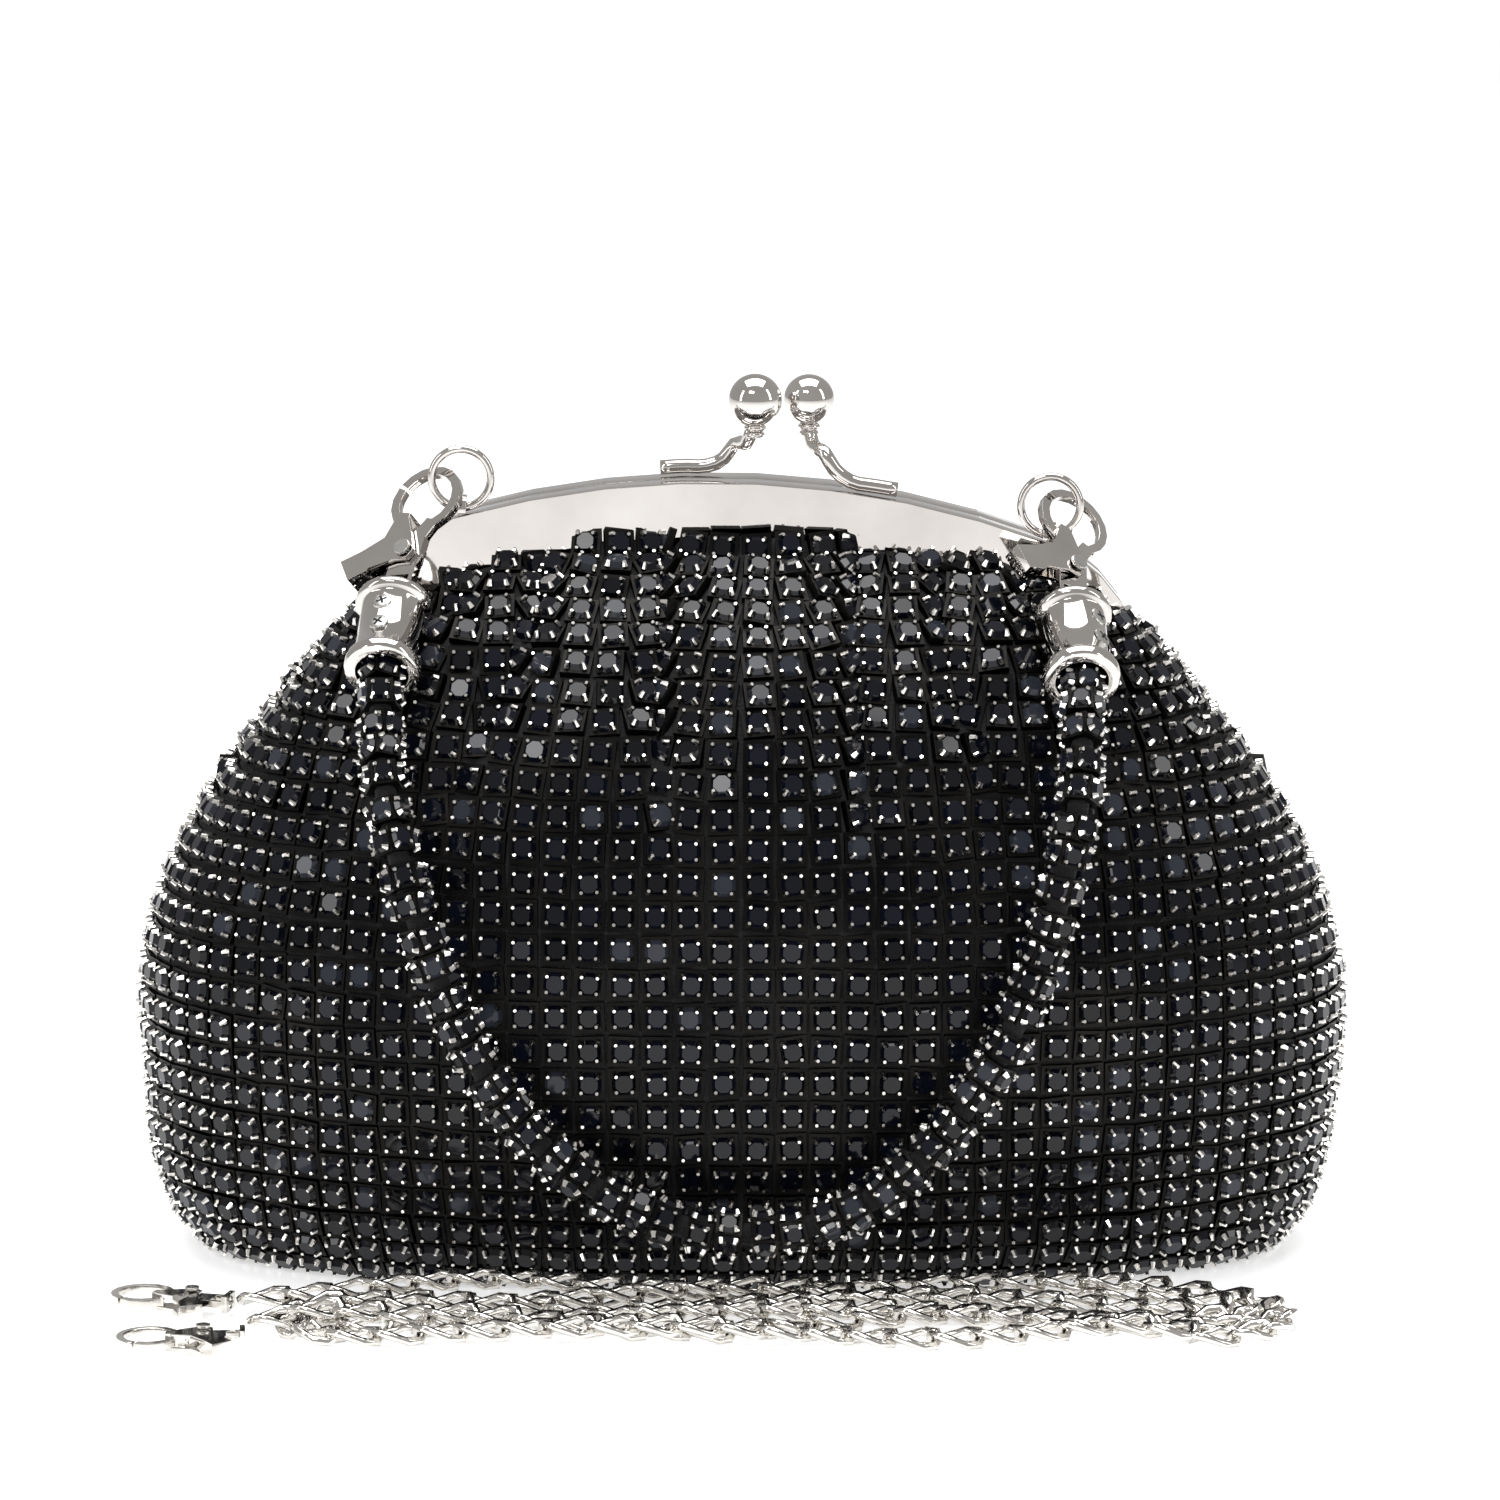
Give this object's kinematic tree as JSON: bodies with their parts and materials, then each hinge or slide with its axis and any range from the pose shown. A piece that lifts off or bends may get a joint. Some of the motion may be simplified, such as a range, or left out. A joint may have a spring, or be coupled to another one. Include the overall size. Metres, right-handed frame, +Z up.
{
  "type": "evening bag",
  "caption": "Soft pouch of crystal mesh on a hinged kiss-lock frame, with a clip-on rope handle and a curb-chain strap folded in front.",
  "frame": {"origin": "middle of the flat base, on the surface that the bag stands on", "axes": "+X along the width to the right as seen from the front, -Y towards the front, +Z up"},
  "size_m": [0.207, 0.1358, 0.1495],
  "materials": {
    "crystal_mesh": "black faceted glass in dark metal cups",
    "satin": "black satin",
    "board": "pressed fibreboard",
    "nickel": "polished nickel plate",
    "steel": "bright steel",
    "cord": "twisted cotton"
  },
  "bodies": {
    "pouch": {"pouch_mesh": "crystal_mesh", "front_gather": "crystal_mesh", "back_gather": "crystal_mesh", "base_board": "board", "lining": "satin", "slip_pocket": "satin", "hinge_rivet_right": "steel", "hinge_rivet_left": "steel", "chain_hank": "nickel", "claw_a_body": "nickel", "claw_a_rivet": "steel", "claw_a_spring": "steel", "claw_b_body": "nickel", "claw_b_rivet": "steel", "claw_b_spring": "steel"},
    "front_frame": {"front_frame": "nickel", "front_mesh_cord": "cord", "front_clasp_arm": "nickel", "front_clasp_ball": "nickel", "ring_staple_left": "nickel", "ring_staple_right": "nickel"},
    "back_frame": {"back_frame": "nickel", "back_mesh_cord": "cord", "back_clasp_arm": "nickel", "back_clasp_ball": "nickel"},
    "ring_left": {"ring_left": "nickel"},
    "ring_right": {"ring_right": "nickel"},
    "handle": {"ferrule_left": "nickel", "swivel_post_left": "nickel", "ferrule_screw_left_1": "steel", "ferrule_screw_left_2": "steel", "ferrule_right": "nickel", "swivel_post_right": "nickel", "ferrule_screw_right_1": "steel", "ferrule_screw_right_2": "steel", "handle_rope": "crystal_mesh", "handle_core": "cord"},
    "hook_left": {"hook_left_body": "nickel", "hook_left_rivet": "steel", "hook_left_spring": "steel"},
    "hook_left_lever": {"hook_left_lever": "nickel"},
    "hook_right": {"hook_right_body": "nickel", "hook_right_rivet": "steel", "hook_right_spring": "steel"},
    "hook_right_lever": {"hook_right_lever": "nickel"},
    "claw_a_lever": {"claw_a_lever": "nickel"},
    "claw_b_lever": {"claw_b_lever": "nickel"}
  },
  "joints": [
    {"name": "front_frame_open", "type": "hinge", "parent": "pouch", "child": "front_frame", "pos_m": [0.001, 0, 0.098], "axis": [0.9989, 0, -0.0471], "range_deg": [0, 24], "deforming": ["front_gather"]},
    {"name": "back_frame_open", "type": "hinge", "parent": "pouch", "child": "back_frame", "pos_m": [0.001, 0, 0.098], "axis": [0.9989, 0, -0.0471], "range_deg": [-42, 0], "deforming": ["back_gather"]},
    {"name": "ring_left_turn", "type": "hinge", "parent": "front_frame", "child": "ring_left", "pos_m": [-0.04718, -0.0052, 0.12724], "axis": [0.9989, 0, -0.0471], "range_deg": [-24, 0]},
    {"name": "ring_right_turn", "type": "hinge", "parent": "front_frame", "child": "ring_right", "pos_m": [0.05171, -0.0052, 0.12258], "axis": [0.9989, 0, -0.0471], "range_deg": [-24, 0]},
    {"name": "handle_lift", "type": "hinge", "parent": "ring_left", "child": "handle", "pos_m": [-0.04711, -0.0057, 0.12869], "axis": [-0.9989, 0, 0.0471], "range_deg": [0, 38]},
    {"name": "hook_left_swivel", "type": "hinge", "parent": "handle", "child": "hook_left", "pos_m": [-0.0574, -0.0199, 0.1137], "axis": [0.0798, 0.8185, 0.5689], "range_deg": [-3, 6]},
    {"name": "hook_left_lever_press", "type": "hinge", "parent": "hook_left", "child": "hook_left_lever", "pos_m": [-0.0554, -0.01361, 0.12044], "axis": [-0.44, -0.61, 0.6589], "range_deg": [0, 10], "stiffness_Nm_per_rad": 0.02, "springref_deg": -17.19},
    {"name": "hook_right_swivel", "type": "hinge", "parent": "handle", "child": "hook_right", "pos_m": [0.0548, -0.0232, 0.1124], "axis": [-0.05, 0.8401, 0.5401], "range_deg": [-3, 6]},
    {"name": "hook_right_lever_press", "type": "hinge", "parent": "hook_right", "child": "hook_right_lever", "pos_m": [0.05496, -0.01566, 0.11816], "axis": [0.5237, -0.542, 0.6573], "range_deg": [0, 10], "stiffness_Nm_per_rad": 0.02, "springref_deg": -17.19},
    {"name": "claw_a_lever_press", "type": "hinge", "parent": "pouch", "child": "claw_a_lever", "pos_m": [-0.08986, -0.05097, 0.0026], "axis": [0, 0, 1], "range_deg": [0, 10], "stiffness_Nm_per_rad": 0.02, "springref_deg": -17.19},
    {"name": "claw_b_lever_press", "type": "hinge", "parent": "pouch", "child": "claw_b_lever", "pos_m": [-0.08599, -0.07385, 0.0026], "axis": [0, 0, 1], "range_deg": [0, 10], "stiffness_Nm_per_rad": 0.02, "springref_deg": -17.19}
  ],
  "couplings": [
    {"joint": "back_frame_open", "follows": "front_frame_open", "ratio": -1.75},
    {"joint": "ring_left_turn", "follows": "front_frame_open", "ratio": -1},
    {"joint": "ring_right_turn", "follows": "front_frame_open", "ratio": -1}
  ]
}
